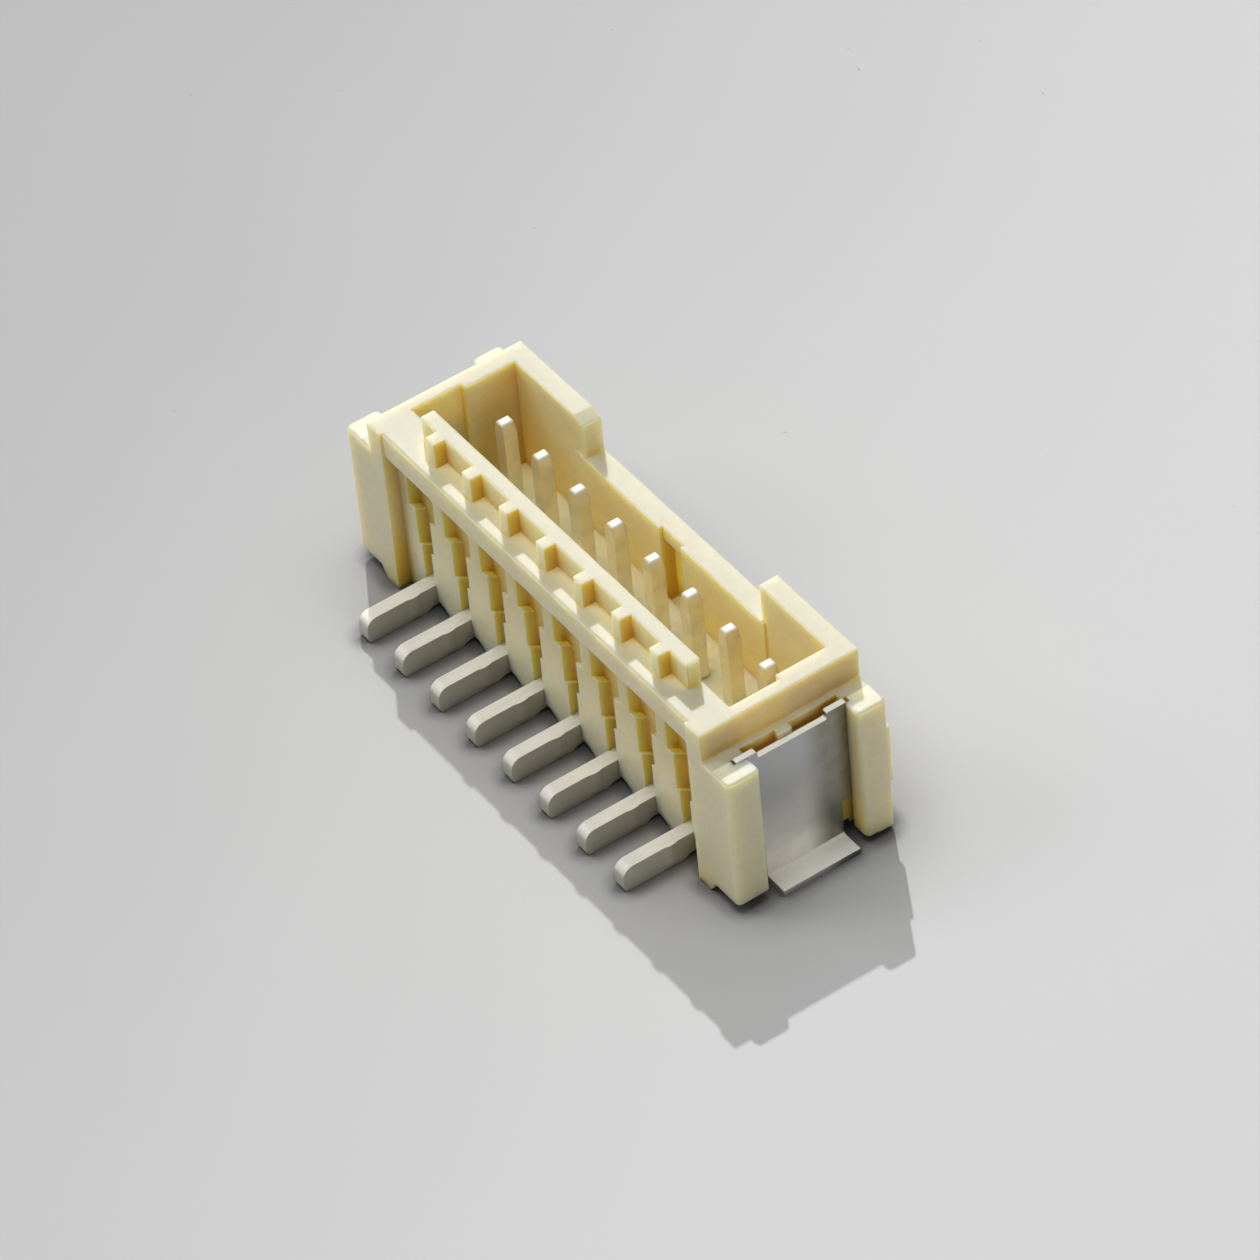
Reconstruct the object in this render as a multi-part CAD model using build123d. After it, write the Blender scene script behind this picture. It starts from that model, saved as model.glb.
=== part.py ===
from build123d import *
import os

os.makedirs("parts", exist_ok=True)

# All sizes are in millimetres. X runs along the row, the tails leave towards -Y,
# and the board is the plane z = 0 under the middle of the row of pins.

# Terminal row
PITCH = 2.0
POSITIONS = 8
FIT = 0.01

# Terminal stamping
SHEET = 0.5
PIN_DEPTH = 0.5
PIN_HEIGHT = 3.53
PIN_TAPER = 0.45
PIN_TIP_WIDTH = 0.32
PIN_TIP_DEPTH = 0.45
PIN_TIP_ROUND = 0.1
TAIL_REACH = 5.97
TAIL_HEIGHT = 0.93
TAIL_TOP_ROUND = 0.38
TAIL_TOE_ROUND = 0.16
TAIL_LIFT = 0.12
LIFT_START = 3.75
LIFT_RUN = 0.25
HEEL = 0.55
SHANK_HEIGHT = 0.85
SHANK_WIDTH = 0.92
BARB_DEPTH = 0.07
BARB_HEIGHT = 0.28
CARRIER_STUB_REACH = 4.18
CARRIER_STUB_LENGTH = 0.5
CARRIER_STUB_HEIGHT = 0.045

# Housing cavity
FLOOR_TOP = 2.34
CAVITY_DEPTH = 4.34
CAVITY_FRONT = 2.42
CAVITY_REAR = 1.335
END_ROOM = 1.511
CHEEK = 0.226
CHEEK_FRONT = 0.55
STANDOFF = 0.3

# Housing walls
REAR_WALL = 0.701
END_WALL = 0.423
SKIN = 0.5
REAR_DROP = 1.47
WINDOW_LEFT = 4.55
WINDOW_RIGHT = 4.82
WINDOW_CHAMFER = 0.5
WINDOW_CHAMFER_DROP = 0.15
BACKING = 0.07
BACKING_END_ROOM = 0.18

# Polarising keyway in the rear wall
KEYWAY_CENTRE = 0.05
KEYWAY_WIDTH = 1.15
KEYWAY_RELIEF = 0.06
KEYWAY_DEPTH = 0.42
KEYWAY_LINTEL = 0.56
KEYWAY_SUMP = 0.35

# Front comb of ribs, slots and ledge
RIB_DEPTH = 0.44
LEDGE_OVERHANG = 0.41
LEDGE_HEIGHT = 0.95
LEDGE_ROUND = 0.09
UPPER_SLOT = 1.5
MIDDLE_SLOT = 0.84
LOWER_SLOT = 0.53
MIDDLE_STEP = 3.77
LOWER_STEP = 2.32
STEP_FALL = 0.27
RIB_FOOT_RISE = 0.3
RIB_FOOT_BULGE = 0.11

# Toothed rail on the ledge
RAIL_HEIGHT = 0.97
RAIL_END_ROOM = 0.105
RAIL_ROUND = 0.06
TOOTH_WIDTH = 0.466

# End pillars and posts
PILLAR_REACH = 0.09
PILLAR_INSIDE = 1.2
POST_DROP = 1.11
POST_ROUND = 0.18
POST_TOP_ROUND = 0.1
LIP = 0.667
LIP_FRONT = 0.5
LIP_REAR = 0.19
TAB_SETBACK = 0.456
TAB_RELIEF = 0.23
TAB_RELIEF_DEPTH = 0.9
BRIDGE_PLACE = -1.35
BRIDGE_WIDTH = 0.5
TAB_GAP = 0.1
FOOT_START = 1.25
FOOT_WIDTH = 0.55
FOOT_LENGTH = 0.66
FOOT_SLOPE = 0.3
POST_LIFT = 0.46
REAR_POST_LIFT = 0.26
PAD_WIDTH = 0.5
PAD_BOTTOM = 1.9
PAD_HEIGHT = 2.3
PAD_THICKNESS = 0.17

# Solder tab stamping
TAB_SHEET = 0.22
TAB_FRONT = 3.05
TAB_LENGTH = 4.1
TAB_NOTCH = 0.27
TAB_SHOULDER = 0.76
TAB_WAIST_Z = 1.6
TAB_LEG_OUTSET = 0.75
TAB_LEG_INSET = 0.47
TAB_CORNER = 0.08
TAB_BEND = 0.1
TAB_FOOT_REACH = 1.06

# Places that follow from the sizes
HALF_ROW = PITCH * (POSITIONS - 1) / 2
CAVITY_END = HALF_ROW + END_ROOM
BODY_END = CAVITY_END + END_WALL
PILLAR_IN = HALF_ROW + PILLAR_INSIDE
WALL_TOP = FLOOR_TOP + CAVITY_DEPTH
LEDGE_BOTTOM = WALL_TOP - LEDGE_HEIGHT
POST_TOP = WALL_TOP - POST_DROP
WINDOW_SILL = WALL_TOP - REAR_DROP
PIN_TOP = FLOOR_TOP + PIN_HEIGHT
Y_REAR = CAVITY_REAR + REAR_WALL
Y_CAVITY_FRONT = -CAVITY_FRONT
Y_SKIN = Y_CAVITY_FRONT - SKIN
Y_RIB = Y_SKIN - RIB_DEPTH
Y_LEDGE = Y_RIB - LEDGE_OVERHANG
Y_PILLAR = Y_LEDGE - PILLAR_REACH
TAB_IN = BODY_END + TAB_SETBACK + FIT
TAB_OUT = TAB_IN + TAB_SHEET
LIP_IN = TAB_OUT + FIT
LIP_OUT = LIP_IN + LIP
Y_TAB_FRONT = -TAB_FRONT
Y_TAB_REAR = Y_TAB_FRONT + TAB_LENGTH
Y_SLOT_FRONT = Y_TAB_FRONT - TAB_GAP
Y_SLOT_REAR = Y_TAB_REAR + TAB_GAP
Y_LIP_FRONT = Y_SLOT_FRONT + LIP_FRONT
Y_LIP_REAR = Y_SLOT_REAR - LIP_REAR
Y_LEG_FRONT = Y_TAB_FRONT + TAB_LEG_OUTSET
Y_LEG_REAR = Y_TAB_REAR - TAB_LEG_INSET
SHANK_TOP = TAIL_HEIGHT + SHANK_HEIGHT


def outline(points):
    """Flat face inside a closed line through the corner points."""
    return make_face(Polyline(*points, close=True))


def prism_x(points, x_from, x_to):
    """Solid with a (y, z) outline between two x places."""
    return extrude(Plane.YZ.offset(x_from) * outline(points), x_to - x_from)


def prism_y(points, y_from, y_to):
    """Solid with an (x, z) outline between two y places."""
    return extrude(Plane.XZ.offset(-y_to) * outline(points), y_to - y_from)


def prism_z(points, z_from, z_to):
    """Solid with an (x, y) outline between two heights."""
    return extrude(Plane.XY.offset(z_from) * outline(points), z_to - z_from)


def rectangle(u_from, u_to, v_from, v_to):
    """Corner points of an upright rectangle."""
    return [(u_from, v_from), (u_to, v_from), (u_to, v_to), (u_from, v_to)]


def both_ends(solid):
    """The solid and its mirror image at the other end of the row."""
    return solid + mirror(solid, Plane.YZ)


def terminal_places():
    """X places of the terminals, from pin one at the left."""
    return [PITCH * number - HALF_ROW for number in range(POSITIONS)]


def channel():
    """Floor, rear wall and front wall with its ledge, as one long section."""
    section = outline([
        (Y_REAR, 0.0),
        (Y_REAR, WALL_TOP),
        (CAVITY_REAR, WALL_TOP),
        (CAVITY_REAR, FLOOR_TOP),
        (Y_CAVITY_FRONT, FLOOR_TOP),
        (Y_CAVITY_FRONT, WALL_TOP),
        (Y_LEDGE, WALL_TOP),
        (Y_LEDGE, LEDGE_BOTTOM),
        (Y_RIB, LEDGE_BOTTOM),
        (Y_RIB, 0.0),
    ])
    nose = section.vertices().sort_by(Axis.X)[:2].sort_by(Axis.Y)[-1]
    section = fillet(nose, LEDGE_ROUND)
    return extrude(Plane.YZ.offset(-CAVITY_END) * section, 2 * CAVITY_END)


def end_wall():
    """Right end wall, the pillar in front of it and the cheek inside it."""
    pillar = outline([
        (PILLAR_IN, Y_PILLAR),
        (BODY_END, Y_PILLAR),
        (BODY_END, Y_REAR),
        (CAVITY_END, Y_REAR),
        (CAVITY_END, Y_CAVITY_FRONT),
        (PILLAR_IN, Y_CAVITY_FRONT),
    ])
    wall = extrude(pillar, WALL_TOP)
    cheek = rectangle(CAVITY_END - CHEEK, CAVITY_END, -CHEEK_FRONT, CAVITY_REAR)
    return wall + prism_z(cheek, FLOOR_TOP, WALL_TOP)


def on_outer_rim(point):
    """Whether a point lies on the front, rear or outer side of an end post."""
    sides = (point.Y - Y_PILLAR, point.Y - Y_REAR, point.X - LIP_OUT)
    return min(abs(distance) for distance in sides) < POST_ROUND


def end_posts():
    """Two posts whose lips trap the right solder tab against the end wall."""
    plan = outline([
        (BODY_END, Y_PILLAR),
        (LIP_OUT, Y_PILLAR),
        (LIP_OUT, Y_LIP_FRONT),
        (LIP_IN, Y_LIP_FRONT),
        (LIP_IN, Y_SLOT_FRONT),
        (TAB_IN - FIT, Y_SLOT_FRONT),
        (TAB_IN - FIT, Y_SLOT_REAR),
        (LIP_IN, Y_SLOT_REAR),
        (LIP_IN, Y_LIP_REAR),
        (LIP_OUT, Y_LIP_REAR),
        (LIP_OUT, Y_REAR),
        (BODY_END, Y_REAR),
    ])
    outer = [v for v in plan.vertices() if abs(v.X - LIP_OUT) < FIT]
    posts = extrude(fillet(outer, POST_ROUND), POST_TOP)
    rim = [e for e in posts.edges().group_by(Axis.Z)[-1] if on_outer_rim(e.center())]
    posts = fillet(rim, POST_TOP_ROUND)
    pad_out = LIP_OUT - POST_ROUND
    pad = rectangle(pad_out - PAD_WIDTH, pad_out, Y_REAR, Y_REAR + PAD_THICKNESS)
    posts += prism_z(pad, PAD_BOTTOM, PAD_BOTTOM + PAD_HEIGHT)
    relief_x = TAB_IN - FIT - TAB_RELIEF
    bridge_end = BRIDGE_PLACE + BRIDGE_WIDTH
    for start, end in ((Y_LIP_FRONT, BRIDGE_PLACE), (bridge_end, Y_LIP_REAR)):
        relief = rectangle(relief_x, TAB_IN - FIT, start, end)
        posts -= prism_z(relief, POST_TOP - TAB_RELIEF_DEPTH, POST_TOP)
    return posts


def toothed_rail():
    """Rail on the ledge, with one tooth over each rib."""
    half = HALF_ROW + RAIL_END_ROOM
    plan = outline(rectangle(-half, half, Y_SKIN, Y_CAVITY_FRONT))
    for x in terminal_places()[1:]:
        rib = x - PITCH / 2
        tooth = rectangle(rib - TOOTH_WIDTH / 2, rib + TOOTH_WIDTH / 2, Y_RIB, Y_SKIN)
        plan += outline(tooth)
    corners = plan.vertices().group_by(Axis.Y)
    plan = fillet(corners[0] + corners[-1], RAIL_ROUND)
    return extrude(Plane.XY.offset(WALL_TOP) * plan, RAIL_HEIGHT)


def front_slot():
    """Stepped slot between two ribs, with step tops that fall inwards."""
    levels = [
        (UPPER_SLOT, MIDDLE_STEP, LEDGE_BOTTOM),
        (MIDDLE_SLOT, LOWER_STEP, LEDGE_BOTTOM),
        (LOWER_SLOT, 0.0, LEDGE_BOTTOM),
    ]
    cutter = Part()
    for width, step, top in levels:
        fall = STEP_FALL if step > 0 else 0.0
        side = [(Y_RIB, step), (Y_SKIN, step - fall), (Y_SKIN, top), (Y_RIB, top)]
        cutter += prism_x(side, -width / 2, width / 2)
    return cutter


def rib_foot_arch():
    """Space under the front wall that leaves each rib a pointed foot."""
    half = PITCH / 2
    edge = LOWER_SLOT / 2
    middle = (half + edge) / 2
    flank = RIB_FOOT_RISE / 2 + RIB_FOOT_BULGE
    left = ThreePointArc((-half, 0), (-middle, flank), (-edge, RIB_FOOT_RISE))
    top = Line((-edge, RIB_FOOT_RISE), (edge, RIB_FOOT_RISE))
    right = ThreePointArc((edge, RIB_FOOT_RISE), (middle, flank), (half, 0))
    arch = make_face([left, top, right, Line((half, 0), (-half, 0))])
    return extrude(Plane.XZ.offset(-Y_CAVITY_FRONT) * arch, Y_CAVITY_FRONT - Y_RIB)


def terminal_pocket():
    """Space in the housing that takes one terminal, entered from below."""
    side = SHEET / 2 + FIT
    pin = PIN_DEPTH / 2 + FIT
    shank = SHANK_WIDTH / 2 + FIT
    heel = HEEL + FIT
    base = [
        (Y_RIB, 0.0),
        (heel, 0.0),
        (heel, TAIL_HEIGHT + FIT),
        (shank, TAIL_HEIGHT + FIT),
        (shank, SHANK_TOP + FIT),
        (-shank, SHANK_TOP + FIT),
        (-shank, TAIL_HEIGHT + FIT),
        (Y_RIB, TAIL_HEIGHT + FIT),
    ]
    pocket = prism_x(base, -side, side)
    hole = prism_x(rectangle(-pin, pin, 0.0, FLOOR_TOP), -side, side)
    barbs = prism_x(barb_outline(FIT), -side, side)
    return pocket + hole + barbs


def barb_outline(clearance):
    """Barbs that stand out of the shank on both sides."""
    half = SHANK_WIDTH / 2 + clearance
    tip = half + BARB_DEPTH
    low = SHANK_TOP - 2 * BARB_HEIGHT
    return [
        (-half, low - clearance),
        (-tip, low - clearance),
        (-half, low + BARB_HEIGHT + clearance),
        (half, low + BARB_HEIGHT + clearance),
        (tip, low - clearance),
        (half, low - clearance),
    ]


def rear_window():
    """Lowered middle of the rear wall, chamfered at its left end."""
    outline_points = [
        (-WINDOW_LEFT, WINDOW_SILL),
        (WINDOW_RIGHT, WINDOW_SILL),
        (WINDOW_RIGHT, WALL_TOP),
        (-WINDOW_LEFT - WINDOW_CHAMFER, WALL_TOP),
        (-WINDOW_LEFT, WALL_TOP - WINDOW_CHAMFER_DROP),
    ]
    return prism_y(outline_points, CAVITY_REAR, Y_REAR)


def rear_backing():
    """Slight thickening of the lowered rear wall on the cavity side."""
    left = -WINDOW_LEFT - WINDOW_CHAMFER
    right = WINDOW_RIGHT + BACKING_END_ROOM
    plan = rectangle(left, right, CAVITY_REAR - BACKING, CAVITY_REAR)
    return prism_z(plan, FLOOR_TOP, WINDOW_SILL)


def keyway():
    """Polarising groove inside the rear wall, deeper under its lintel."""
    left = KEYWAY_CENTRE - KEYWAY_WIDTH / 2
    right = KEYWAY_CENTRE + KEYWAY_WIDTH / 2
    lintel = WINDOW_SILL - KEYWAY_LINTEL
    face = CAVITY_REAR - BACKING
    relief = rectangle(left, right, face, CAVITY_REAR + KEYWAY_RELIEF)
    groove = rectangle(left, right, face, CAVITY_REAR + KEYWAY_DEPTH)
    sump = FLOOR_TOP - KEYWAY_SUMP
    return prism_z(relief, lintel, WINDOW_SILL) + prism_z(groove, sump, lintel)


def underside():
    """Space under the housing that leaves its feet standing on the board."""
    foot_in = HALF_ROW + FOOT_START
    foot_out = foot_in + FOOT_WIDTH
    belly = rectangle(-foot_in, foot_in, Y_CAVITY_FRONT, Y_REAR)
    bridge = rectangle(foot_in, LIP_OUT, Y_PILLAR + FOOT_LENGTH, Y_REAR - FOOT_LENGTH)
    ramp = [
        (foot_out, 0.0),
        (LIP_OUT, 0.0),
        (LIP_OUT, POST_LIFT),
        (foot_out + FOOT_SLOPE, POST_LIFT),
    ]
    rear_ramp = [(TAB_IN, 0.0), (LIP_OUT, 0.0), (LIP_OUT, REAR_POST_LIFT)]
    ends = prism_z(bridge, 0.0, STANDOFF)
    ends += prism_y(ramp, Y_PILLAR, Y_LIP_REAR)
    ends += prism_y(rear_ramp, Y_LIP_REAR, Y_REAR)
    return prism_z(belly, 0.0, STANDOFF) + both_ends(ends)


def housing():
    """Moulded housing with its cavity, comb front, toothed rail and end posts."""
    body = channel() + both_ends(end_wall() + end_posts()) + toothed_rail()
    body -= rear_window()
    body += rear_backing()
    body -= keyway()
    body -= underside()
    slot = front_slot()
    arch = rib_foot_arch()
    pocket = terminal_pocket()
    for x in terminal_places():
        body -= Pos(x, 0, 0) * slot
        body -= Pos(x, 0, 0) * arch
        body -= Pos(x, 0, 0) * pocket
    return body


def terminal():
    """Flat stamping: tail, base strip, barbed shank and square pin."""
    shoulder = PIN_TOP - PIN_TAPER
    half_pin = PIN_DEPTH / 2
    half_shank = SHANK_WIDTH / 2
    strip = outline([
        (-TAIL_REACH, 0.0),
        (-LIFT_START, 0.0),
        (-LIFT_START + LIFT_RUN, TAIL_LIFT),
        (HEEL, TAIL_LIFT),
        (HEEL, TAIL_HEIGHT),
        (half_shank, TAIL_HEIGHT),
        (half_shank, SHANK_TOP),
        (half_pin, SHANK_TOP),
        (half_pin, shoulder),
        (-half_pin, shoulder),
        (-half_pin, SHANK_TOP),
        (-half_shank, SHANK_TOP),
        (-half_shank, TAIL_HEIGHT),
        (-TAIL_REACH, TAIL_HEIGHT),
    ])
    top = strip.vertices().sort_by(Axis.X)[:2].sort_by(Axis.Y)[-1]
    strip = fillet(top, TAIL_TOP_ROUND)
    toe = strip.vertices().group_by(Axis.Y)[0].sort_by(Axis.X)[0]
    strip = fillet(toe, TAIL_TOE_ROUND) + outline(barb_outline(0.0))
    plate = extrude(Plane.YZ.offset(-SHEET / 2) * strip, SHEET)
    root = Plane.XY.offset(shoulder) * Rectangle(SHEET, PIN_DEPTH)
    crown = Plane.XY.offset(PIN_TOP) * Rectangle(PIN_TIP_WIDTH, PIN_TIP_DEPTH)
    tip = loft([root, crown])
    tip = fillet(tip.edges().group_by(Axis.Z)[-1], PIN_TIP_ROUND)
    return plate + tip + carrier_stub()


def carrier_stub():
    """Low bulge on the tail where the stamping was cut from its carrier."""
    start = -CARRIER_STUB_REACH - CARRIER_STUB_LENGTH / 2
    end = start + CARRIER_STUB_LENGTH
    face = SHEET / 2
    crest = ThreePointArc((face, start), (face + CARRIER_STUB_HEIGHT, (start + end) / 2), (face, end))
    plan = make_face([crest, Line((face, end), (face, start))])
    return extrude(Plane.XY.offset(TAIL_TOE_ROUND) * plan, TAIL_HEIGHT - TAIL_TOE_ROUND)


def solder_tab():
    """Right solder tab: a plate in the end slot and a foot bent outwards."""
    shoulder_z = POST_TOP
    edge_z = POST_TOP - TAB_NOTCH
    bend_top = TAB_SHEET + TAB_BEND
    plate = outline([
        (Y_LEG_FRONT, bend_top),
        (Y_LEG_REAR, bend_top),
        (Y_LEG_REAR, TAB_WAIST_Z),
        (Y_TAB_REAR, TAB_WAIST_Z),
        (Y_TAB_REAR, shoulder_z),
        (Y_TAB_REAR - TAB_SHOULDER, shoulder_z),
        (Y_TAB_REAR - TAB_SHOULDER, edge_z),
        (Y_TAB_FRONT + TAB_SHOULDER, edge_z),
        (Y_TAB_FRONT + TAB_SHOULDER, shoulder_z),
        (Y_TAB_FRONT, shoulder_z),
        (Y_TAB_FRONT, TAB_WAIST_Z),
        (Y_LEG_FRONT, TAB_WAIST_Z),
    ])
    corners = [v for v in plate.vertices() if v.Y > bend_top + FIT]
    plate = fillet(corners, TAB_CORNER)
    return extrude(Plane.YZ.offset(TAB_IN) * plate, TAB_SHEET) + bent_foot()


def bent_foot():
    """Quarter bend under the plate and the flat foot that is soldered down."""
    inner = TAB_BEND
    outer = TAB_BEND + TAB_SHEET
    centre_x = TAB_OUT + inner
    reach = TAB_IN + TAB_FOOT_REACH
    diagonal = 0.5 ** 0.5
    section = make_face([
        ThreePointArc(
            (TAB_IN, outer),
            (centre_x - outer * diagonal, outer - outer * diagonal),
            (centre_x, 0.0),
        ),
        Line((centre_x, 0.0), (reach, 0.0)),
        Line((reach, 0.0), (reach, TAB_SHEET)),
        Line((reach, TAB_SHEET), (centre_x, TAB_SHEET)),
        ThreePointArc(
            (centre_x, TAB_SHEET),
            (centre_x - inner * diagonal, outer - inner * diagonal),
            (TAB_OUT, outer),
        ),
        Line((TAB_OUT, outer), (TAB_IN, outer)),
    ])
    return extrude(Plane.XZ.offset(-Y_LEG_REAR) * section, Y_LEG_REAR - Y_LEG_FRONT)


def save(solid, node):
    """Write one sub-part to its own file."""
    export_step(solid, f"parts/{node}.step")


save(housing(), "housing")
blank = terminal()
for number, place in enumerate(terminal_places(), start=1):
    save(Pos(place, 0, 0) * blank, f"terminal_{number}")
right_tab = solder_tab()
save(right_tab, "solder_tab_right")
save(mirror(right_tab, Plane.YZ), "solder_tab_left")
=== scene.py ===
import logging
import math
from dataclasses import dataclass
from enum import Enum

import bpy
from mathutils import Matrix, Vector


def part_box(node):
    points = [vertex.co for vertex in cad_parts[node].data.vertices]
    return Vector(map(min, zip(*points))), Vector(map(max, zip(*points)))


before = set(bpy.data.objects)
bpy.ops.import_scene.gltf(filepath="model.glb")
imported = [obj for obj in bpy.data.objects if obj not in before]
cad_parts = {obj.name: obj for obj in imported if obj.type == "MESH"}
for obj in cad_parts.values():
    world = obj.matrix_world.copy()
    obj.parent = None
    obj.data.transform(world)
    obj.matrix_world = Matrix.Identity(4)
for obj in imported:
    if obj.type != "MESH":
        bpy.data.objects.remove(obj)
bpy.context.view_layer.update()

MM = 0.001
PROBE_SAMPLES = 4
GRAIN_MEAN = 0.5

Colour = tuple[float, float, float]
Span = tuple[float, float]
Stretch = tuple[float, float, float]
EVEN: Stretch = (1.0, 1.0, 1.0)

log = logging.getLogger("connector")


class Mixing(Enum):
    """How two colours are combined."""

    BLEND = "MIX"
    MULTIPLY = "MULTIPLY"


class Mixed(Enum):
    """What a Mix node combines: its data type, the places of its two inputs and of its output."""

    COLOURS = ("RGBA", 6, 7, 2)
    VECTORS = ("VECTOR", 4, 5, 1)


@dataclass(frozen=True)
class Grain:
    """Soft noise with patches of about one size, in metres."""

    patch: float
    detail: float = 3.0
    stretch: Stretch = EVEN


class Value:
    """A number in a shader, which plain arithmetic turns into Math nodes."""

    def __init__(self, bench: "Bench", socket: bpy.types.NodeSocket) -> None:
        """Wrap a socket.

        Args:
            bench: The bench whose node tree the socket belongs to.
            socket: An output socket that carries a number.
        """
        self.bench = bench
        self.socket = socket

    def _math(self, operation: str, first: object, second: object) -> "Value":
        """Add one Math node.

        Args:
            operation: Name of the Math node's operation.
            first: Left operand, a number or a Value.
            second: Right operand, a number or a Value.

        Returns:
            The node's result.
        """
        return self.bench.value(
            "ShaderNodeMath", settings={"operation": operation}, inputs={0: first, 1: second}
        )

    def __add__(self, other: object) -> "Value":
        """Sum of this and another value."""
        return self._math("ADD", self, other)

    def __radd__(self, other: object) -> "Value":
        """Sum of another value and this."""
        return self._math("ADD", other, self)

    def __sub__(self, other: object) -> "Value":
        """This less another value."""
        return self._math("SUBTRACT", self, other)

    def __rsub__(self, other: object) -> "Value":
        """Another value less this."""
        return self._math("SUBTRACT", other, self)

    def __mul__(self, other: object) -> "Value":
        """Product of this and another value."""
        return self._math("MULTIPLY", self, other)

    def __rmul__(self, other: object) -> "Value":
        """Product of another value and this."""
        return self._math("MULTIPLY", other, self)

    def size(self) -> "Value":
        """This value without its sign."""
        return self._math("ABSOLUTE", self, 0.0)

    def most(self, other: "Value") -> "Value":
        """The larger of this and another value."""
        return self._math("MAXIMUM", self, other)

    def ramp(self, low: float, high: float, to_low: float = 0.0, to_high: float = 1.0) -> "Value":
        """Map a range smoothly to another, clamped at both ends.

        Args:
            low: Value that gives to_low.
            high: Value that gives to_high, above low or below it.
            to_low: Result at low and beyond.
            to_high: Result at high and beyond.

        Returns:
            The mapped value.
        """
        return self.bench.value(
            "ShaderNodeMapRange",
            settings={"interpolation_type": "SMOOTHSTEP", "clamp": True},
            inputs={
                "Value": self,
                "From Min": low,
                "From Max": high,
                "To Min": to_low,
                "To Max": to_high,
            },
        )

    def past(self, edge: float, fold: float) -> "Value":
        """1 above an edge and 0 below it, with a soft fold to each side."""
        return self.ramp(edge - fold, edge + fold)

    def before(self, edge: float, fold: float) -> "Value":
        """1 below an edge and 0 above it, with a soft fold to each side."""
        return self.ramp(edge + fold, edge - fold)


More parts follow.
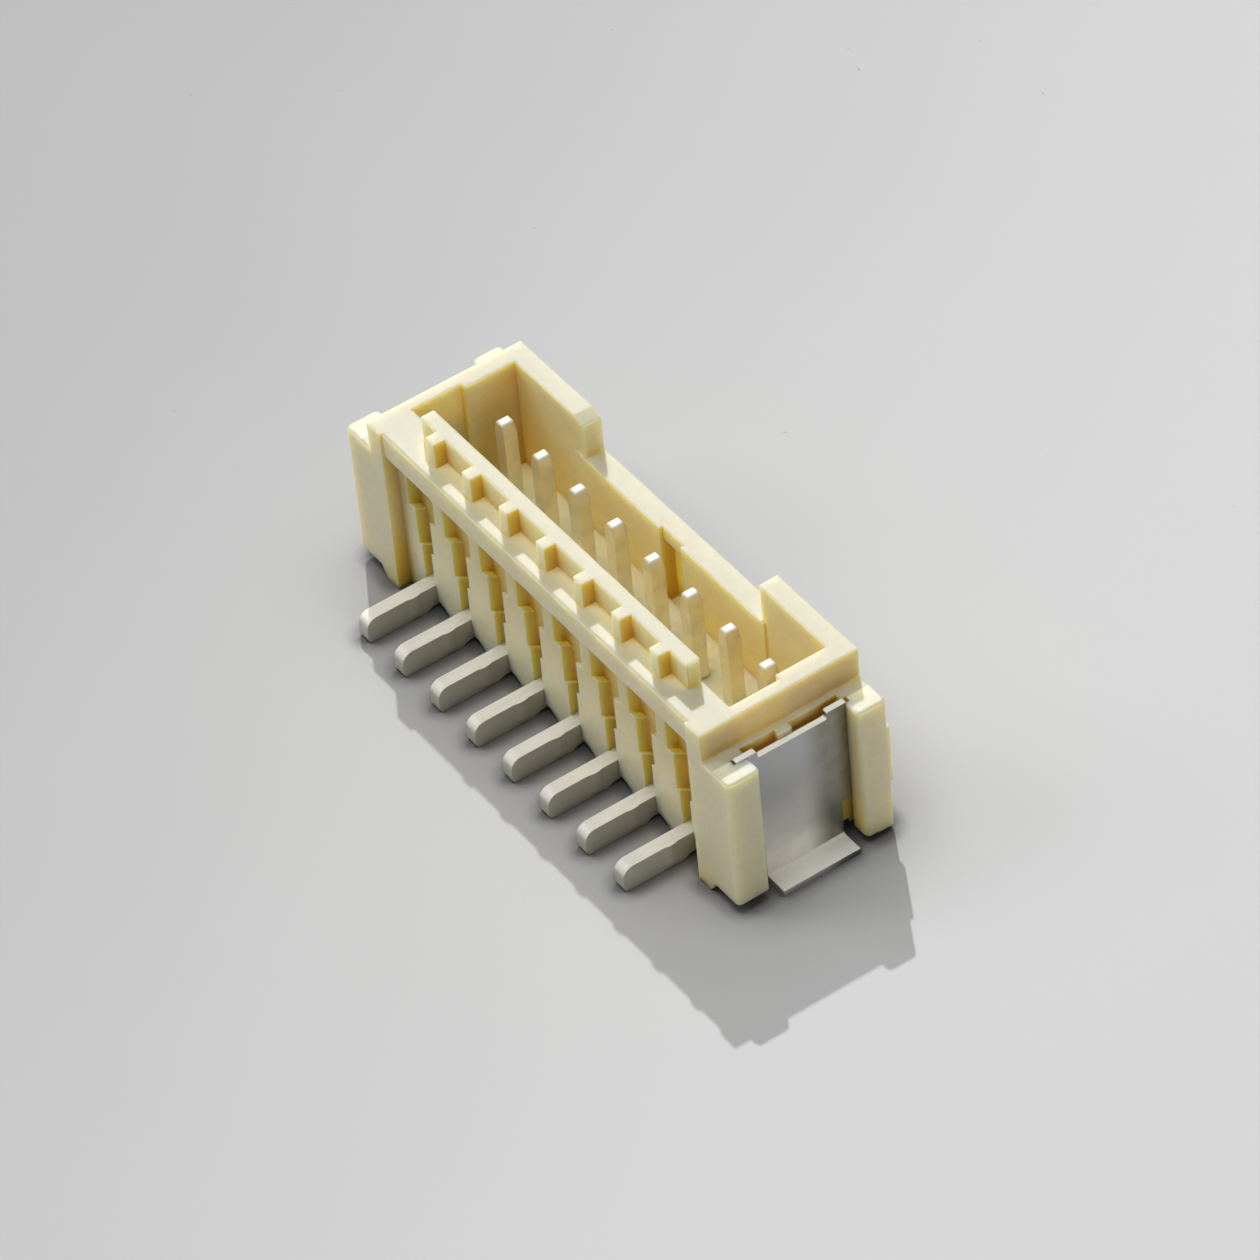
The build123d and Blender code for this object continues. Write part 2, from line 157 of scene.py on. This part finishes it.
class Bench:
    """Builds the node tree of one material."""

    def __init__(self, name: str) -> None:
        """Start a material with an empty tree.

        Args:
            name: Name of the material.
        """
        self.material = bpy.data.materials.new(name)
        self.material.use_nodes = True
        self.tree = self.material.node_tree
        self.tree.nodes.clear()

    def node(
        self,
        kind: str,
        settings: dict[str, object] | None = None,
        inputs: dict[int | str, object] | None = None,
    ) -> bpy.types.Node:
        """Create any node, set it and wire it.

        Args:
            kind: Type name of the node.
            settings: Node properties, which are set first.
            inputs: Socket names or places with a number, colour, Value or socket.

        Returns:
            The new node.
        """
        made = self.tree.nodes.new(kind)
        for key, setting in (settings or {}).items():
            setattr(made, key, setting)
        for key, given in (inputs or {}).items():
            self._feed(made.inputs[key], given)
        return made

    def value(self, kind: str, output: int | str = 0, **parts: object) -> Value:
        """Create a node and wrap one of its outputs as a number."""
        return Value(self, self.node(kind, **parts).outputs[output])

    def _feed(self, socket: bpy.types.NodeSocket, given: object) -> None:
        """Give a socket a link or a constant.

        Args:
            socket: The input socket.
            given: A Value, an output socket, a number or a tuple.
        """
        if isinstance(given, Value):
            given = given.socket
        if isinstance(given, bpy.types.NodeSocket):
            self.tree.links.new(given, socket)
        elif isinstance(given, tuple) and socket.type == "RGBA":
            socket.default_value = (*given, 1.0)
        else:
            socket.default_value = given

    def place(self, stretch: Stretch = EVEN) -> bpy.types.NodeSocket:
        """Place on the piece in its own metres, stretched along its axes.

        Args:
            stretch: Scale of the pattern along X, Y and Z.

        Returns:
            The vector output that a texture reads.
        """
        coordinates = self.node("ShaderNodeTexCoord")
        mapping = self.node(
            "ShaderNodeMapping", inputs={"Vector": coordinates.outputs["Object"], "Scale": stretch}
        )
        return mapping.outputs["Vector"]

    def parts(self, vector: bpy.types.NodeSocket) -> tuple[Value, Value, Value]:
        """Parts of a vector along X, Y and Z."""
        split = self.node("ShaderNodeSeparateXYZ", inputs={"Vector": vector})
        return tuple(Value(self, output) for output in split.outputs)

    def facing(self) -> tuple[Value, Value, Value]:
        """Parts of the surface direction along X, Y and Z."""
        return self.parts(self.node("ShaderNodeTexCoord").outputs["Normal"])

    def whereabouts(self) -> tuple[Value, Value, Value]:
        """Place on the piece along X, Y and Z, in metres."""
        return self.parts(self.place())

    def shelter(self, reach: float) -> Value:
        """How far a place is closed in by surfaces around it.

        Args:
            reach: Distance within which surfaces count.

        Returns:
            0 in the open, towards 1 deep in a recess.
        """
        openness = self.value(
            "ShaderNodeAmbientOcclusion",
            output="AO",
            settings={"samples": PROBE_SAMPLES},
            inputs={"Distance": reach},
        )
        return 1 - openness

    def rounded(self, radius: float) -> bpy.types.NodeSocket:
        """Normals that round every edge.

        Args:
            radius: Radius of the rounding.

        Returns:
            The rounded normal.
        """
        made = self.node(
            "ShaderNodeBevel", settings={"samples": PROBE_SAMPLES}, inputs={"Radius": radius}
        )
        return made.outputs["Normal"]

    def lean(self, radius: float) -> Value:
        """How much a rounded surface leans upwards, which is most just below an upper edge.

        Args:
            radius: Width of the band along the edge.

        Returns:
            Part of the rounded direction along Z.
        """
        _, _, upward = self.parts(self.rounded(radius))
        return upward

    def grey(self, value: Value) -> bpy.types.NodeSocket:
        """Turn a number into a grey colour."""
        channels = {"Red": value, "Green": value, "Blue": value}
        return self.node("ShaderNodeCombineColor", inputs=channels).outputs["Color"]

    def grain(self, grain: Grain) -> Value:
        """Lay a grain over the piece.

        Args:
            grain: The patches, their detail and their stretch.

        Returns:
            Noise between 0 and 1, around GRAIN_MEAN.
        """
        return self.value(
            "ShaderNodeTexNoise",
            inputs={
                "Vector": self.place(grain.stretch),
                "Scale": 1.0 / grain.patch,
                "Detail": grain.detail,
            },
        )

    def wander(self, grain: Grain, spread: float) -> Value:
        """Lay a grain that wanders around zero.

        Args:
            grain: The patches, their detail and their stretch.
            spread: Distance between its lowest and its highest.

        Returns:
            Noise between minus and plus half the spread.
        """
        return (self.grain(grain) - GRAIN_MEAN) * spread

    def mix(
        self,
        factor: Value | float,
        first: object,
        second: object,
        way: Mixing = Mixing.BLEND,
        kind: Mixed = Mixed.COLOURS,
    ) -> bpy.types.NodeSocket:
        """Combine two colours or two vectors.

        Args:
            factor: How much of the second one shows.
            first: A constant or a socket.
            second: A constant or a socket.
            way: How two colours are combined.
            kind: What is combined.

        Returns:
            The mixed colour or vector.
        """
        data_type, first_input, second_input, output = kind.value
        made = self.node(
            "ShaderNodeMix",
            settings={"data_type": data_type, "blend_type": way.value},
            inputs={0: factor, first_input: first, second_input: second},
        )
        return made.outputs[output]

    def shade(self, colour: bpy.types.NodeSocket, light: Value) -> bpy.types.NodeSocket:
        """Darken a colour by a number between 0 and 1."""
        return self.mix(1.0, colour, self.grey(light), Mixing.MULTIPLY)

    def bump(
        self, strength: float, depth: float, height: Value, normal: bpy.types.NodeSocket
    ) -> bpy.types.NodeSocket:
        """Roughen a surface direction.

        Args:
            strength: How much the bumps show.
            depth: Height of the bumps, in metres.
            height: Pattern of the bumps.
            normal: The direction that they lean on.

        Returns:
            The roughened normal.
        """
        made = self.node(
            "ShaderNodeBump",
            inputs={"Strength": strength, "Distance": depth, "Height": height, "Normal": normal},
        )
        return made.outputs["Normal"]

    def finish(self, sockets: dict[str, object]) -> bpy.types.Material:
        """Close the tree with the shader.

        Args:
            sockets: Names of the shader's sockets with what feeds them.

        Returns:
            The finished material.
        """
        shader = self.node("ShaderNodeBsdfPrincipled", inputs=sockets)
        self.node("ShaderNodeOutputMaterial", inputs={"Surface": shader.outputs["BSDF"]})
        return self.material


@dataclass(frozen=True)
class IvoryNylon:
    """Slightly translucent ivory polyamide, amber where it lies deep in shade."""

    # Colours; the light, shade, amber, edge glow, post, rib and band colours are painted light and
    # shade, the specks are the moulding's own
    top_light_colour: Colour = (0.49, 0.466, 0.35)
    side_light_colour: Colour = (0.72, 0.67, 0.46)
    top_shade_colour: Colour = (0.94, 0.84, 0.49)
    side_shade_colour: Colour = (0.87, 0.685, 0.21)
    slot_shade_colour: Colour = (0.66, 0.54, 0.14)
    amber_shade_colour: Colour = (0.61, 0.42, 0.055)
    edge_glow_colour: Colour = (0.97, 0.83, 0.46)
    post_light_colour: Colour = (0.97, 0.90, 0.63)
    rib_light_colour: Colour = (1.0, 0.94, 0.68)
    band_colour: Colour = (0.60, 0.47, 0.17)
    speck_colour: Colour = (0.30, 0.23, 0.11)

    # Shade in the recesses
    up_span: Span = (0.25, 0.85)
    wide_reach: float = 2.6 * MM
    wide_span: Span = (0.28, 0.62)
    near_reach: float = 0.8 * MM
    near_span: Span = (0.42, 0.80)
    right_span: Span = (0.3, 0.9)
    right_wide_span: Span = (0.30, 0.55)
    right_share: float = 0.8
    top_relief: float = 0.85

    # Edges, with a painted yellow glow on side faces just below the upper edges
    edge_radius: float = 0.10 * MM
    fringe_radius: float = 0.24 * MM
    fringe_span: Span = (0.08, 0.50)
    fringe_share: float = 0.55

    # Slots and ribs of the comb, and teeth of the rail, with painted amber shade in the slots and
    # beside the teeth and painted light on the lower rib fronts
    comb_end: float = 8.0 * MM
    comb_fold: float = 0.03 * MM
    slot_front: float = -3.35 * MM
    slot_rear: float = -2.88 * MM
    slot_low: float = 2.2 * MM
    slot_top: float = 5.73 * MM
    slot_richness: Span = (0.50, 0.95)
    slot_onset: Span = (0.0, 0.4)
    rib_light_span: Span = (4.6 * MM, 1.6 * MM)
    rail_foot: float = 6.70 * MM
    tooth_span: Span = (0.4, 0.9)
    tooth_share: float = 0.8

    # Corner posts, with painted light on their tops, and the end walls above them, with painted light
    # through them
    post_inner: float = 9.45 * MM
    post_top: float = 5.57 * MM
    post_light_depth: float = 0.25 * MM
    post_light_fold: float = 0.05 * MM
    post_fold: float = 0.06 * MM
    post_wide_span: Span = (0.06, 0.24)
    band_inner: float = 8.87 * MM
    band_fold: float = 0.05 * MM
    band_span: Span = (0.5, 0.9)
    band_share: float = 0.55

    # Patterns
    drift: Grain = Grain(1.4 * MM)
    drift_spread: float = 0.10
    mottle: Grain = Grain(0.30 * MM, detail=5.0)
    mottle_span: Span = (0.25, 0.75)
    mottle_light: float = 0.95
    specks: Grain = Grain(0.16 * MM, detail=1.0)
    speck_span: Span = (0.74, 0.78)
    speck_share: float = 0.3

    # Surface
    roughness: float = 0.48
    rough_grain: Grain = Grain(0.12 * MM)
    rough_spread: float = 0.16
    bump_grain: Grain = Grain(0.10 * MM, detail=4.0)
    bump_strength: float = 0.10
    bump_depth: float = 0.006 * MM
    glow: float = 1.0
    glow_depth: float = 1.3 * MM
    glow_reach: Colour = (1.0, 0.84, 0.34)
    shine: float = 0.4

    def build(self) -> bpy.types.Material:
        """Make the material.

        Returns:
            The moulding's material.
        """
        bench = Bench("ivory_moulding")
        normal = bench.rounded(self.edge_radius)
        height = bench.grain(self.bump_grain)
        return bench.finish({
            "Base Color": self._colour(bench),
            "Roughness": self.roughness + bench.wander(self.rough_grain, self.rough_spread),
            "Normal": bench.bump(self.bump_strength, self.bump_depth, height, normal),
            "Subsurface Weight": self.glow,
            "Subsurface Radius": self.glow_reach,
            "Subsurface Scale": self.glow_depth,
            "Specular IOR Level": self.shine,
        })

    def _colour(self, bench: Bench) -> bpy.types.NodeSocket:
        """Ivory with painted light and shade by facing, painted amber shade in the recesses, painted
        light on the post tops, rib fronts and end walls, and its specks.

        Args:
            bench: The bench of the material.

        Returns:
            The colour of the moulding.
        """
        across, _, upward = bench.facing()
        up = upward.ramp(*self.up_span)
        wide = bench.shelter(self.wide_reach)
        drift = bench.wander(self.drift, self.drift_spread)
        # painted light: tops and sides get their own colours for how the light falls on them, and shade
        # colours where closed in
        plain = bench.mix(up, self.side_light_colour, self.top_light_colour)
        shade = bench.mix(up, self.side_shade_colour, self.top_shade_colour)
        shaded = bench.mix((wide + drift).ramp(*self.wide_span), plain, shade)
        # painted yellow glow on side faces just below lit upper edges
        lean = bench.lean(self.fringe_radius).ramp(*self.fringe_span)
        edge_glowed = bench.mix(lean * (1 - up) * self.fringe_share, shaded, self.edge_glow_colour)
        # painted light on the post tops, inside the end walls' shade
        post_light_part = self._post_light(bench, up) * wide.ramp(*self.post_wide_span)
        post_lit = bench.mix(post_light_part, edge_glowed, self.post_light_colour)
        # painted light on the lower rib fronts
        rib_lit = bench.mix(self._rib_light(bench), post_lit, self.rib_light_colour)
        banded = bench.mix(self._end_bands(bench, across), rib_lit, self.band_colour)
        # painted amber shade in the slots, beside the teeth, on faces turned right and in tight corners
        slot_shade, tooth_shade = self._recess_shade(bench, across)
        right_shade_part = across.ramp(*self.right_span) * wide.ramp(*self.right_wide_span) * self.right_share
        near_shade_part = right_shade_part.most(bench.shelter(self.near_reach).ramp(*self.near_span))
        recess_shade_part = near_shade_part.most(slot_shade).most(tooth_shade) * (1 - up * self.top_relief)
        recess_shade = bench.mix(slot_shade.ramp(*self.slot_onset), self.amber_shade_colour, self.slot_shade_colour)
        amber_shaded = bench.mix(recess_shade_part, banded, recess_shade)
        mottle = bench.grain(self.mottle).ramp(*self.mottle_span, self.mottle_light, 1.0)
        specks = bench.grain(self.specks).ramp(*self.speck_span) * self.speck_share
        return bench.mix(specks, bench.shade(amber_shaded, mottle), self.speck_colour)

    def _post_light(self, bench: Bench, up: Value) -> Value:
        """Painted light on the upper faces of the corner posts, where the end walls shade them.

        Args:
            bench: The bench of the material.
            up: How far the surface faces up.

        Returns:
            How much painted light a place gets.
        """
        along, _, level = bench.whereabouts()
        outside = along.size().past(self.post_inner, self.post_fold)
        below = level.ramp(self.post_top + 2 * self.post_fold, self.post_top + self.post_fold)
        above = level.past(self.post_top - self.post_light_depth, self.post_light_fold)
        return outside * below * above * up

    def _end_bands(self, bench: Bench, across: Value) -> Value:
        """Yellow light that comes through the end walls above the posts.

        Args:
            bench: The bench of the material.
            across: Part of the surface direction along X.

        Returns:
            How yellow a place is.
        """
        along, _, level = bench.whereabouts()
        outside = along.size().past(self.band_inner, self.band_fold)
        above = level.past(self.post_top + self.band_fold, self.band_fold)
        return outside * above * across.size().ramp(*self.band_span) * self.band_share

    def _rib_light(self, bench: Bench) -> Value:
        """Painted light on the lower fronts of the ribs, lighter towards the bottom.

        Args:
            bench: The bench of the material.

        Returns:
            How much painted light a place gets.
        """
        along, depth, level = bench.whereabouts()
        in_front = depth.before(self.slot_front, self.comb_fold)
        within_row = along.size().before(self.comb_end, self.comb_fold)
        return in_front * within_row * level.ramp(*self.rib_light_span)

    def _recess_shade(self, bench: Bench, across: Value) -> tuple[Value, Value]:
        """Painted amber shade in the slots of the comb and beside the teeth of the rail.

        Args:
            bench: The bench of the material.
            across: Part of the surface direction along X.

        Returns:
            How much painted amber shade a place gets, in the slots and beside the teeth.
        """
        along, depth, level = bench.whereabouts()
        behind_front = depth.past(self.slot_front, self.comb_fold)
        before_rear = depth.before(self.slot_rear, self.comb_fold)
        within_row = along.size().before(self.comb_end, self.comb_fold)
        zone = behind_front * before_rear * within_row
        under_ledge = level.before(self.slot_top, self.comb_fold)
        richness = level.ramp(self.slot_low, self.slot_top, *self.slot_richness)
        beside_teeth = level.past(self.rail_foot, self.comb_fold) * across.ramp(*self.tooth_span)
        return zone * under_ledge * richness, zone * beside_teeth * self.tooth_share


@dataclass(frozen=True)
class TinPlate:
    """Tin plating, smooth on the rolled faces and coarser on the upper cut edges."""

    name: str

    # Rolled faces, with a painted reflection colour down along a span in height and a darker painted
    # reflection of shade along a span in Y
    rolled_colour: Colour = (0.88, 0.80, 0.56)
    low_reflection_colour: Colour = (0.88, 0.80, 0.56)
    low_reflection_span: Span = (4.0 * MM, 0.8 * MM)
    shade_reflection_colour: Colour = (0.53, 0.508, 0.425)
    shade_reflection_span: Span = (-2.2 * MM, -3.4 * MM)
    rolled_metal: float = 0.60
    shade_reflection_metal: float = 0.45
    rolled_roughness: float = 0.36

    # Cut edges
    cut_span: Span = (0.15, 0.60)
    cut_colour: Colour = (0.80, 0.785, 0.70)
    cut_metal: float = 0.25
    cut_roughness: float = 0.46

    # Patterns
    cloud_colour: Colour = (0.52, 0.50, 0.46)
    clouds: Grain = Grain(0.55 * MM, detail=4.0)
    cloud_span: Span = (0.35, 0.75)
    cloud_share: float = 0.35
    cloud_relief: float = 0.6
    cloud_roughness: float = 0.06
    lines: Grain = Grain(0.035 * MM, detail=2.0, stretch=(1.0, 0.06, 1.0))
    streak_span: Span = (0.48, 0.70)
    streak_share: float = 0.30
    line_roughness: float = 0.10
    pit_colour: Colour = (0.26, 0.24, 0.21)
    pits: Grain = Grain(0.09 * MM, detail=2.0)
    pit_span: Span = (0.68, 0.78)
    pit_share: float = 0.25

    # Bumps and roundings
    bump_grain: Grain = Grain(0.16 * MM, detail=4.0)
    bump_strength: float = 0.05
    bump_depth: float = 0.002 * MM
    edge_radius: float = 0.04 * MM
    tip_radius: float = 0.20 * MM
    tip_level: float = 5.45 * MM
    tip_fold: float = 0.1 * MM

    def build(self) -> bpy.types.Material:
        """Make the material.

        Returns:
            The plating's material.
        """
        bench = Bench(self.name)
        _, _, upward = bench.facing()
        _, depth, level = bench.whereabouts()
        cut = upward.ramp(*self.cut_span)
        shade_reflection = depth.ramp(*self.shade_reflection_span)
        cloud = bench.grain(self.clouds).ramp(*self.cloud_span)
        lines = bench.grain(self.lines)
        # painted reflections: another colour lower down, and a darker one where the faces would mirror
        # shade
        rolled_with_reflection = bench.mix(level.ramp(*self.low_reflection_span), self.rolled_colour, self.low_reflection_colour)
        shade_reflected = bench.mix(shade_reflection, rolled_with_reflection, self.shade_reflection_colour)
        plain = bench.mix(cut, shade_reflected, self.cut_colour)
        cloudy = cloud * self.cloud_share * (1 - cut * self.cloud_relief)
        clouded = bench.mix(cloudy, plain, self.cloud_colour)
        streak = lines.ramp(*self.streak_span) * cut * self.streak_share
        streaked = bench.mix(streak, clouded, self.cloud_colour)
        pits = bench.grain(self.pits).ramp(*self.pit_span) * cut * self.pit_share
        metal = cut.ramp(0.0, 1.0, self.rolled_metal, self.cut_metal)
        rough = cut.ramp(0.0, 1.0, self.rolled_roughness, self.cut_roughness)
        height = cut * (lines + bench.grain(self.bump_grain))
        normal = self._rounding(bench, level)
        return bench.finish({
            "Base Color": bench.mix(pits, streaked, self.pit_colour),
            "Metallic": metal * shade_reflection.ramp(0.0, 1.0, 1.0, self.shade_reflection_metal),
            "Roughness": (
                rough + (lines - GRAIN_MEAN) * self.line_roughness + cloud * self.cloud_roughness
            ),
            "Normal": bench.bump(self.bump_strength, self.bump_depth, height, normal),
        })

    def _rounding(self, bench: Bench, level: Value) -> bpy.types.NodeSocket:
        """Normals that round the edges a little and the tips of the pins a lot.

        Args:
            bench: The bench of the material.
            level: Height on the piece, in metres.

        Returns:
            The rounded normal.
        """
        tip = level.past(self.tip_level, self.tip_fold)
        edges = bench.rounded(self.edge_radius)
        return bench.mix(tip, edges, bench.rounded(self.tip_radius), kind=Mixed.VECTORS)


@dataclass(frozen=True)
class PalePaper:
    """Plain pale grey ground, painted a little darker towards the far left for the fall of the light,
    and with painted contact shade close to the part.
    """

    # painted fall of the light: darker towards the far left
    far_colour: Colour = (0.355, 0.355, 0.357)
    near_colour: Colour = (0.507, 0.507, 0.508)
    slope: tuple[float, float] = (0.945, 0.6)
    slope_span: Span = (-45.0 * MM, 22.0 * MM)
    drift: Grain = Grain(14.0 * MM)
    drift_spread: float = 6.0 * MM
    dust_colour: Colour = (0.20, 0.18, 0.16)
    dust: Grain = Grain(0.5 * MM, detail=1.0)
    dust_span: Span = (0.80, 0.83)
    dust_share: float = 0.5
    # painted contact shade close to the part
    wide_reach: float = 4.0 * MM
    wide_span: Span = (0.02, 0.50)
    wide_light: float = 0.66
    near_reach: float = 0.65 * MM
    near_span: Span = (0.0, 0.38)
    near_light: float = 0.32
    roughness: float = 0.85
    rough_grain: Grain = Grain(1.0 * MM)
    rough_spread: float = 0.1
    shine: float = 0.1

    def build(self) -> bpy.types.Material:
        """Make the material.

        Returns:
            The ground's material.
        """
        bench = Bench("pale_paper")
        right, rear, _ = bench.whereabouts()
        across = right * self.slope[0] + rear * self.slope[1]
        tone = (across + bench.wander(self.drift, self.drift_spread)).ramp(*self.slope_span)
        plain = bench.mix(tone, self.far_colour, self.near_colour)
        dust = bench.grain(self.dust).ramp(*self.dust_span) * self.dust_share
        dusty = bench.mix(dust, plain, self.dust_colour)
        # painted contact shade close to the part, wide and near
        wide_shade = bench.shelter(self.wide_reach).ramp(*self.wide_span, 1.0, self.wide_light)
        near_shade = bench.shelter(self.near_reach).ramp(*self.near_span, 1.0, self.near_light)
        return bench.finish({
            "Base Color": bench.shade(dusty, wide_shade * near_shade),
            "Roughness": self.roughness + bench.wander(self.rough_grain, self.rough_spread),
            "Specular IOR Level": self.shine,
        })


@dataclass
class Dressing:
    """Gives CAD nodes a finish without touching their shape."""

    nodes: tuple[str, ...]
    material: bpy.types.Material

    def apply(self) -> None:
        """Put the finish on every named node."""
        for name in self.nodes:
            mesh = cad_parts[name].data
            mesh.materials.clear()
            mesh.materials.append(self.material)
            low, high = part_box(name)
            spans = [round((high[axis] - low[axis]) / MM, 2) for axis in range(3)]
            log.info("%s dressed in %s, %s mm", name, self.material.name, spans)


@dataclass
class Housing:
    """The ivory moulding with its cavity, comb front and toothed rail."""

    finish: IvoryNylon = IvoryNylon()

    def build(self) -> None:
        """Dress the moulding."""
        Dressing(("housing",), self.finish.build()).apply()


@dataclass
class Terminals:
    """The row of stamped terminals with pins and tails."""

    finish: TinPlate = TinPlate("tinned_terminal")

    def names(self) -> tuple[str, ...]:
        """Names of the terminal nodes in order."""
        return tuple(sorted(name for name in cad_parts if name.startswith("terminal_")))

    def build(self) -> None:
        """Dress every terminal."""
        Dressing(self.names(), self.finish.build()).apply()


@dataclass
class SolderTabs:
    """The two bent tabs that hold the housing down on the board."""

    finish: TinPlate = TinPlate(
        "tinned_tab",
        rolled_colour=(0.46, 0.46, 0.45),
        # painted reflections: the bright foot lower down, the shaded rear post towards the back
        low_reflection_colour=(0.96, 0.94, 0.88),
        low_reflection_span=(3.9 * MM, 1.2 * MM),
        shade_reflection_colour=(0.26, 0.25, 0.205),
        shade_reflection_span=(-0.9 * MM, 0.25 * MM),
        rolled_metal=1.0,
        shade_reflection_metal=1.0,
        cut_colour=(0.94, 0.92, 0.85),
        cut_metal=0.1,
        cloud_colour=(0.55, 0.545, 0.53),
        cloud_share=0.22,
        lines=Grain(0.035 * MM, detail=2.0, stretch=(1.0, 1.0, 0.08)),
        streak_share=0.06,
        tip_level=20.0 * MM,
    )

    def build(self) -> None:
        """Dress both tabs."""
        Dressing(("solder_tab_left", "solder_tab_right"), self.finish.build()).apply()


def direction(turn: float, height: float) -> Vector:
    """Direction in which something stands from the part.

    Args:
        turn: Degrees round the upright axis, counted from the front of the row to the right.
        height: Degrees above the board.

    Returns:
        A vector of length 1.
    """
    around = math.radians(turn)
    tilt = math.radians(height)
    return Vector((
        math.sin(around) * math.cos(tilt),
        -math.cos(around) * math.cos(tilt),
        math.sin(tilt),
    ))


@dataclass(frozen=True)
class Lamp:
    """A disk-shaped lamp, aimed at the part, with angles in degrees, metres and watts."""

    name: str
    turn: float
    height: float
    distance: float
    size: float
    power: float

    def build(self) -> None:
        """Hang the lamp."""
        towards = direction(self.turn, self.height)
        data = bpy.data.lights.new(self.name, "AREA")
        data.shape = "DISK"
        data.size = self.size
        data.energy = self.power
        lamp = bpy.data.objects.new(self.name, data)
        bpy.context.collection.objects.link(lamp)
        lamp.location = towards * self.distance
        lamp.rotation_euler = towards.to_track_quat("Z", "Y").to_euler()


@dataclass
class Studio:
    """Pale floor, a key lamp, three soft panels and daylight."""

    floor_size: float = 3.0
    lamps: tuple[Lamp, ...] = (
        Lamp("key_lamp", turn=240.0, height=46.2, distance=1.0, size=0.015, power=7.7),
        Lamp("ceiling_panel", turn=330.0, height=83.0, distance=0.6, size=0.34, power=1.80),
        Lamp("front_panel", turn=318.0, height=40.0, distance=0.6, size=0.30, power=0.76),
        Lamp("end_panel", turn=84.0, height=20.0, distance=0.6, size=0.30, power=0.26),
    )
    daylight: float = 0.20
    daylight_colour: Colour = (1.0, 1.0, 1.0)

    def build(self) -> None:
        """Add the floor, the lamps and the daylight."""
        self._floor()
        for lamp in self.lamps:
            lamp.build()
        self._daylight()

    def _floor(self) -> None:
        """Lay the floor on the board plane."""
        bpy.ops.object.select_all(action="DESELECT")
        bpy.ops.mesh.primitive_plane_add(size=self.floor_size, location=(0, 0, 0))
        floor = bpy.context.object
        floor.name = "floor"
        floor.data.materials.append(PalePaper().build())

    def _daylight(self) -> None:
        """Light the part evenly from all around."""
        world = bpy.data.worlds.new("daylight")
        bpy.context.scene.world = world
        world.use_nodes = True
        background = world.node_tree.nodes["Background"]
        background.inputs["Color"].default_value = (*self.daylight_colour, 1.0)
        background.inputs["Strength"].default_value = self.daylight


@dataclass
class Viewpoint:
    """Long lens looking down over the near right end, with angles in degrees."""

    turn: float = 58.94
    height: float = 44.06
    roll: float = -5.92
    place_mm: tuple[float, float, float] = (152.447, -92.282, 174.480)
    focal_mm: float = 228.33
    sensor_mm: float = 36.0
    near_clip: float = 10.0 * MM

    def build(self) -> None:
        """Add the camera."""
        around = math.radians(self.turn)
        back = direction(self.turn, self.height)
        right = Vector((math.cos(around), math.sin(around), 0.0))
        up = back.cross(right)
        level = Matrix((right, up, back)).transposed().to_4x4()
        data = bpy.data.cameras.new("camera")
        data.lens = self.focal_mm
        data.sensor_width = self.sensor_mm
        data.clip_start = self.near_clip
        camera = bpy.data.objects.new("camera", data)
        bpy.context.collection.objects.link(camera)
        where = Matrix.Translation(Vector(self.place_mm) * MM)
        camera.matrix_world = where @ level @ Matrix.Rotation(math.radians(self.roll), 4, "Z")
        bpy.context.scene.camera = camera


def main() -> None:
    """Dress the part, light it and look at it."""
    logging.basicConfig(level=logging.INFO, format="%(name)s: %(message)s")
    bpy.context.scene.view_settings.view_transform = "Standard"
    for assembly in (Housing(), Terminals(), SolderTabs(), Studio(), Viewpoint()):
        assembly.build()
        log.info("%s done", type(assembly).__name__)


if __name__ == "__main__":
    main()
